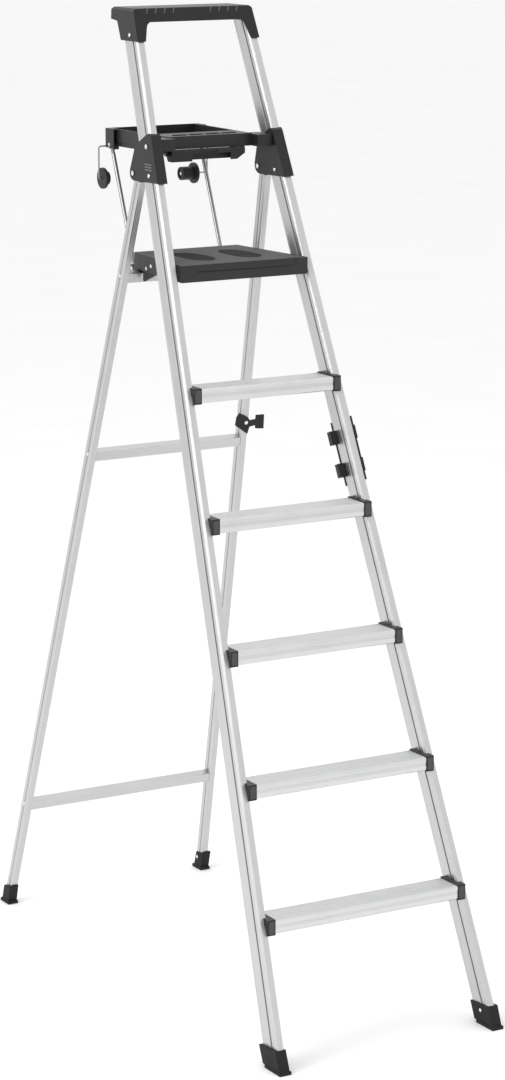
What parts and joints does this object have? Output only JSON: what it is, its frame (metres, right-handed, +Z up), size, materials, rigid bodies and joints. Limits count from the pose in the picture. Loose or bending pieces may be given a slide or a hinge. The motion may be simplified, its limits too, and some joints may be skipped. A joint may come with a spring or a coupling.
{
  "type": "platform step ladder",
  "caption": "Folding aluminium step ladder with ribbed treads, a standing platform, a hinged tool tray, towel holder arms and a moulded handrail cap.",
  "frame": {"origin": "on the floor at the centre of the rectangle that holds the four feet", "axes": "+Z up, -Y towards the climber, +X to the climber's right"},
  "size_m": [0.623, 1.483, 2.39],
  "materials": {
    "extruded_aluminium": "fine reeded satin",
    "bar_aluminium": "satin",
    "tread_aluminium": "ribbed bright satin",
    "steel_rod": "zinc plated",
    "zinc_steel": "zinc plated",
    "black_plastic": "fine moulded grain",
    "end_cap_plastic": "fine moulded grain",
    "deck_plastic": "textured tread",
    "foot_rubber": "matt",
    "strap_rubber": "matt"
  },
  "bodies": {
    "front_frame": {"bracket_rivets": "zinc_steel", "cap_rivets": "zinc_steel", "catch_plate": "black_plastic", "catch_screws": "zinc_steel", "front_foot_left": "foot_rubber", "front_foot_right": "foot_rubber", "front_foot_rivets": "foot_rubber", "front_rail_left": "extruded_aluminium", "front_rail_right": "extruded_aluminium", "hinge_bracket_left": "black_plastic", "hinge_bracket_right": "black_plastic", "leg_pivot_pin_left": "zinc_steel", "leg_pivot_pin_right": "zinc_steel", "platform_pivot_pins": "zinc_steel", "step_end_caps_1": "end_cap_plastic", "step_end_caps_2": "end_cap_plastic", "step_end_caps_3": "end_cap_plastic", "step_end_caps_4": "end_cap_plastic", "step_end_caps_5": "end_cap_plastic", "step_rivets": "zinc_steel", "step_tread_1": "tread_aluminium", "step_tread_2": "tread_aluminium", "step_tread_3": "tread_aluminium", "step_tread_4": "tread_aluminium", "step_tread_5": "tread_aluminium", "top_cap": "black_plastic", "tray_pivot_pin_left": "zinc_steel", "tray_pivot_pin_right": "zinc_steel"},
    "rear_frame": {"crossbar_rivets": "zinc_steel", "leg_hinge_plug_left": "black_plastic", "leg_hinge_plug_right": "black_plastic", "rear_crossbar_lower": "bar_aluminium", "rear_crossbar_middle": "bar_aluminium", "rear_crossbar_upper": "bar_aluminium", "rear_foot_left": "foot_rubber", "rear_foot_right": "foot_rubber", "rear_foot_rivets": "foot_rubber", "rear_leg_left": "extruded_aluminium", "rear_leg_right": "extruded_aluminium", "storage_strap": "strap_rubber", "storage_strap_screw": "zinc_steel"},
    "latch_handle": {"latch_handle": "black_plastic"},
    "tray": {"latch_pin": "zinc_steel", "latch_spring": "zinc_steel", "tray": "black_plastic", "upper_rod_pins": "zinc_steel"},
    "link_rod_left": {"link_rod_left": "steel_rod"},
    "link_rod_right": {"link_rod_right": "steel_rod"},
    "platform": {"lower_rod_pins": "zinc_steel", "platform": "deck_plastic", "platform_hook_left": "black_plastic", "platform_hook_right": "black_plastic", "platform_hook_rivets": "zinc_steel"},
    "towel_plug_left": {"plug_screw_left": "zinc_steel", "towel_plug_left": "black_plastic"},
    "towel_plug_right": {"plug_screw_right": "zinc_steel", "towel_plug_right": "black_plastic"},
    "towel_arm_left": {"towel_arm_left": "steel_rod"},
    "towel_arm_right": {"towel_arm_right": "steel_rod"}
  },
  "joints": [
    {"name": "frame_fold", "type": "hinge", "parent": "front_frame", "child": "rear_frame", "pos_m": [0, 0.17417, 1.997], "axis": [-1, 0, 0], "range_deg": [0, 37.34]},
    {"name": "platform_fold", "type": "hinge", "parent": "front_frame", "child": "platform", "pos_m": [0, -0.00715, 1.77], "axis": [1, 0, 0], "range_deg": [0, 60.05]},
    {"name": "tray_fold", "type": "hinge", "parent": "front_frame", "child": "tray", "pos_m": [0, 0.11097, 2.066], "axis": [1, 0, 0], "range_deg": [0, 60.05]},
    {"name": "rod_swing_left", "type": "hinge", "parent": "tray", "child": "link_rod_left", "pos_m": [-0.126, 0.40697, 2.044], "axis": [-1, 0, 0], "range_deg": [0, 60.05]},
    {"name": "rod_swing_right", "type": "hinge", "parent": "tray", "child": "link_rod_right", "pos_m": [0.126, 0.40697, 2.044], "axis": [-1, 0, 0], "range_deg": [0, 60.05]},
    {"name": "latch_squeeze", "type": "hinge", "parent": "tray", "child": "latch_handle", "pos_m": [0, 0.13197, 2.0455], "axis": [1, 0, 0], "range_deg": [0, 12], "stiffness_Nm_per_rad": 0.25, "springref_deg": -20.05},
    {"name": "towel_arm_swing_left", "type": "hinge", "parent": "tray", "child": "towel_arm_left", "pos_m": [-0.118, 0.42197, 2.04], "axis": [1, 0, 0], "range_deg": [-5, 50]},
    {"name": "towel_arm_swing_right", "type": "hinge", "parent": "tray", "child": "towel_arm_right", "pos_m": [0.118, 0.42197, 2.04], "axis": [1, 0, 0], "range_deg": [-5, 50]},
    {"name": "towel_plug_spin_left", "type": "hinge", "parent": "towel_arm_left", "child": "towel_plug_left", "pos_m": [-0.139, 0.42197, 1.96], "axis": [1, 0, 0], "continuous": true},
    {"name": "towel_plug_spin_right", "type": "hinge", "parent": "towel_arm_right", "child": "towel_plug_right", "pos_m": [0.0985, 0.42197, 1.96], "axis": [1, 0, 0], "continuous": true}
  ],
  "couplings": [
    {"joint": "platform_fold", "follows": "frame_fold", "ratio": 1.6069},
    {"joint": "tray_fold", "follows": "frame_fold", "ratio": 1.6069},
    {"joint": "rod_swing_left", "follows": "frame_fold", "ratio": 1.6069},
    {"joint": "rod_swing_right", "follows": "frame_fold", "ratio": 1.6069}
  ]
}
